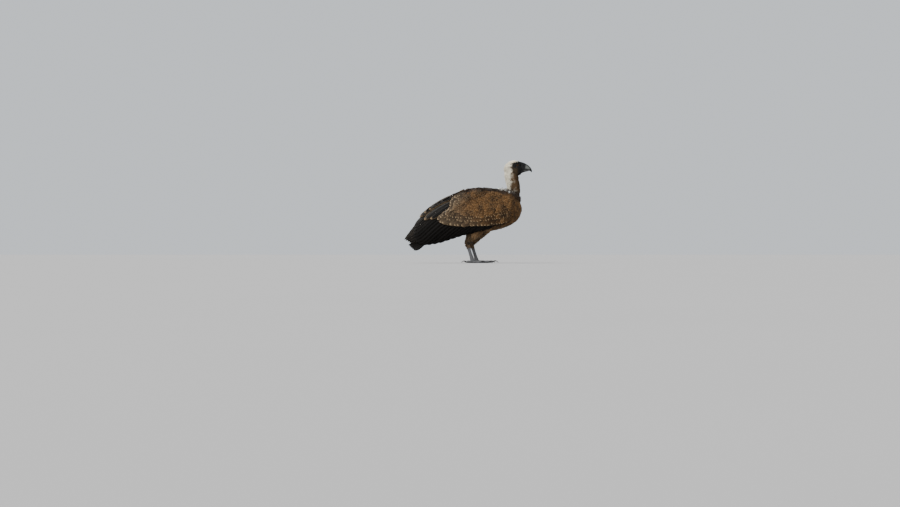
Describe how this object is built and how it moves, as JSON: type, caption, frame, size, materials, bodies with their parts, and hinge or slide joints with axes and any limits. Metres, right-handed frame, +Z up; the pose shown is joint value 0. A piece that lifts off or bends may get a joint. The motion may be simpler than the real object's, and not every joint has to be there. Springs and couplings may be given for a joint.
{
  "type": "griffon vulture",
  "caption": "Standing griffon vulture, wings folded, head raised: pale downy head and neck, white ruff, hooked bill, tawny coverts, blackish flight feathers and tail, bare grey feet.",
  "frame": {"origin": "on the floor under the middle of the whole bird's bounding box; the soles stand on z = 0", "axes": "+X the way the bird faces, +Y its left side, +Z up"},
  "size_m": [0.755, 0.2892, 0.5955],
  "materials": {
    "down": "short dense cream down, browner on the throat, sparse over dark grey skin on the face",
    "ruff": "loose white to cream plumes",
    "plumage": "tawny body feathers with pale shaft streaks and edges",
    "coverts": "tawny brown coverts with darker centres and pale scalloped edges",
    "flight": "blackish brown flight and tail feathers with a slight sheen and narrow pale edges",
    "horn": "greyish horn, dark along the cutting edge and at the hooked tip",
    "cere": "dark grey soft skin round the nostril",
    "eye": "wet, yellowish brown iris and black pupil",
    "scales": "grey scaled skin",
    "claw": "blackish horn, worn blunt at the point"
  },
  "bodies": {
    "root": {"trunk": "plumage", "neck": "down", "ruff": "ruff", "head": "down", "eye_left": "eye", "eye_right": "eye", "cere": "cere", "bill_upper": "horn", "bill_lower": "horn", "tail": "flight", "wing_coverts_left": "coverts", "wing_secondaries_left": "flight", "wing_primaries_left": "flight", "wing_coverts_right": "coverts", "wing_secondaries_right": "flight", "wing_primaries_right": "flight", "thigh_left": "plumage", "tarsus_left": "scales", "foot_left": "scales", "toe_inner_left": "scales", "claw_inner_left": "claw", "toe_middle_left": "scales", "claw_middle_left": "claw", "toe_outer_left": "scales", "claw_outer_left": "claw", "toe_hind_left": "scales", "claw_hind_left": "claw", "thigh_right": "plumage", "tarsus_right": "scales", "foot_right": "scales", "toe_inner_right": "scales", "claw_inner_right": "claw", "toe_middle_right": "scales", "claw_middle_right": "claw", "toe_outer_right": "scales", "claw_outer_right": "claw", "toe_hind_right": "scales", "claw_hind_right": "claw"}
  },
  "joints": []
}
